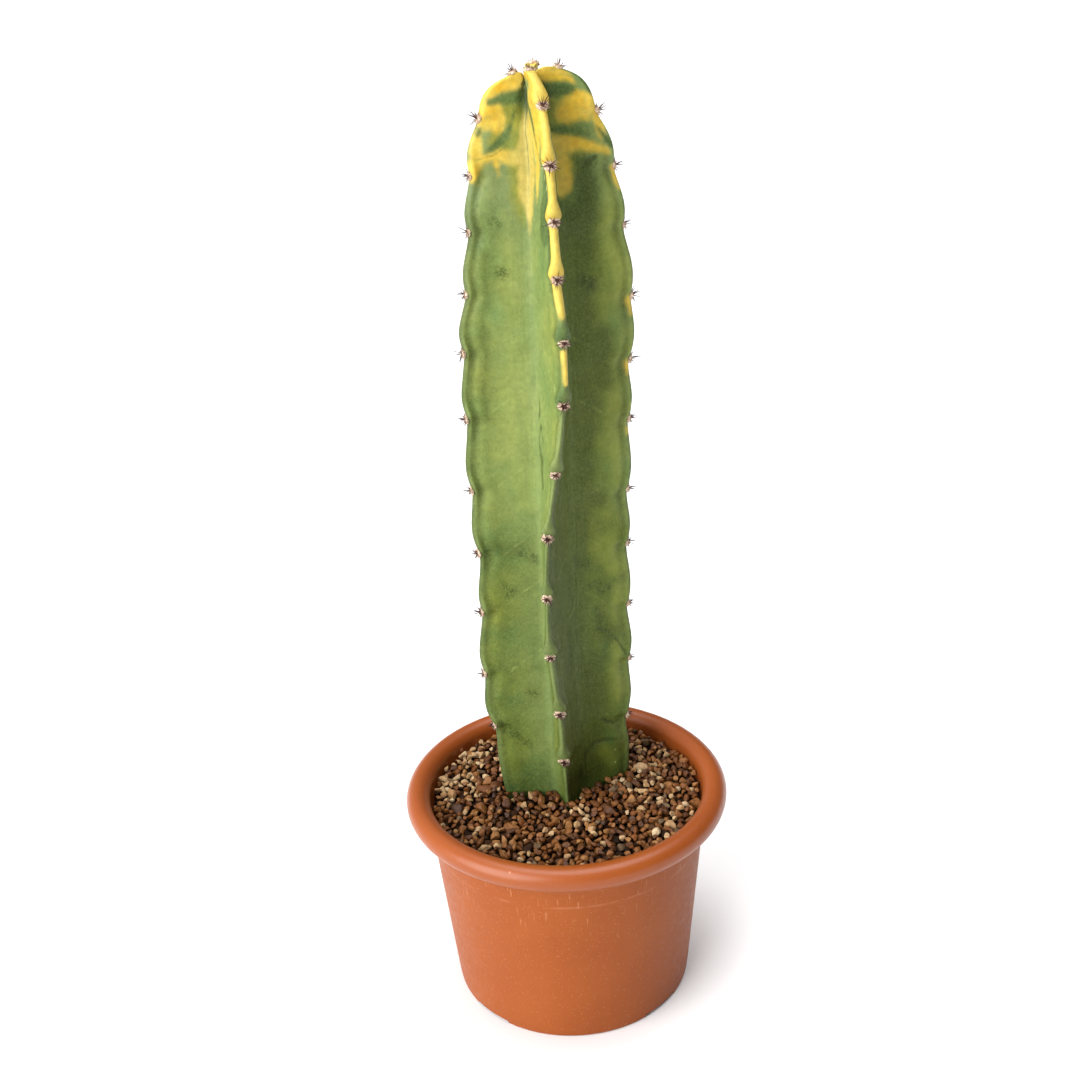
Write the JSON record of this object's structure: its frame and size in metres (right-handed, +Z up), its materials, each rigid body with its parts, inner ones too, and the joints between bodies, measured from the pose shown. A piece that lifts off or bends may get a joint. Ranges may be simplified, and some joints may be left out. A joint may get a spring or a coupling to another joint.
{
  "type": "potted tall cactus",
  "caption": "Tall columnar cactus with thin wavy ribs and spine cushions, variegated yellow at the tip, standing in a round tapered pot with a bead rim and gravel top dressing.",
  "frame": {"origin": "centre of the pot's foot, on the plane the pot stands on", "axes": "+Z up along the stem, -Y towards the front of the plant, +X to the right seen from the front"},
  "size_m": [0.16, 0.16, 0.4518],
  "materials": {
    "pot_plastic": "satin",
    "soil": "matte",
    "gravel": "matte",
    "stem_skin": "satin",
    "spine_cushion": "matte"
  },
  "bodies": {
    "root": {"pot": "pot_plastic", "potting_soil": "soil", "top_dressing": "gravel", "cactus_stem": "stem_skin", "areole_front_01": "spine_cushion", "areole_front_02": "spine_cushion", "areole_front_03": "spine_cushion", "areole_front_04": "spine_cushion", "areole_front_05": "spine_cushion", "areole_front_06": "spine_cushion", "areole_front_07": "spine_cushion", "areole_front_08": "spine_cushion", "areole_front_09": "spine_cushion", "areole_front_10": "spine_cushion", "areole_front_11": "spine_cushion", "areole_front_12": "spine_cushion", "areole_front_13": "spine_cushion", "areole_right_01": "spine_cushion", "areole_right_02": "spine_cushion", "areole_right_03": "spine_cushion", "areole_right_04": "spine_cushion", "areole_right_05": "spine_cushion", "areole_right_06": "spine_cushion", "areole_right_07": "spine_cushion", "areole_right_08": "spine_cushion", "areole_right_09": "spine_cushion", "areole_right_10": "spine_cushion", "areole_right_11": "spine_cushion", "areole_right_12": "spine_cushion", "areole_back_01": "spine_cushion", "areole_back_02": "spine_cushion", "areole_back_03": "spine_cushion", "areole_back_04": "spine_cushion", "areole_back_05": "spine_cushion", "areole_back_06": "spine_cushion", "areole_back_07": "spine_cushion", "areole_back_08": "spine_cushion", "areole_back_09": "spine_cushion", "areole_back_10": "spine_cushion", "areole_back_11": "spine_cushion", "areole_back_12": "spine_cushion", "areole_left_01": "spine_cushion", "areole_left_02": "spine_cushion", "areole_left_03": "spine_cushion", "areole_left_04": "spine_cushion", "areole_left_05": "spine_cushion", "areole_left_06": "spine_cushion", "areole_left_07": "spine_cushion", "areole_left_08": "spine_cushion", "areole_left_09": "spine_cushion", "areole_left_10": "spine_cushion", "areole_left_11": "spine_cushion", "areole_left_12": "spine_cushion"}
  },
  "joints": []
}
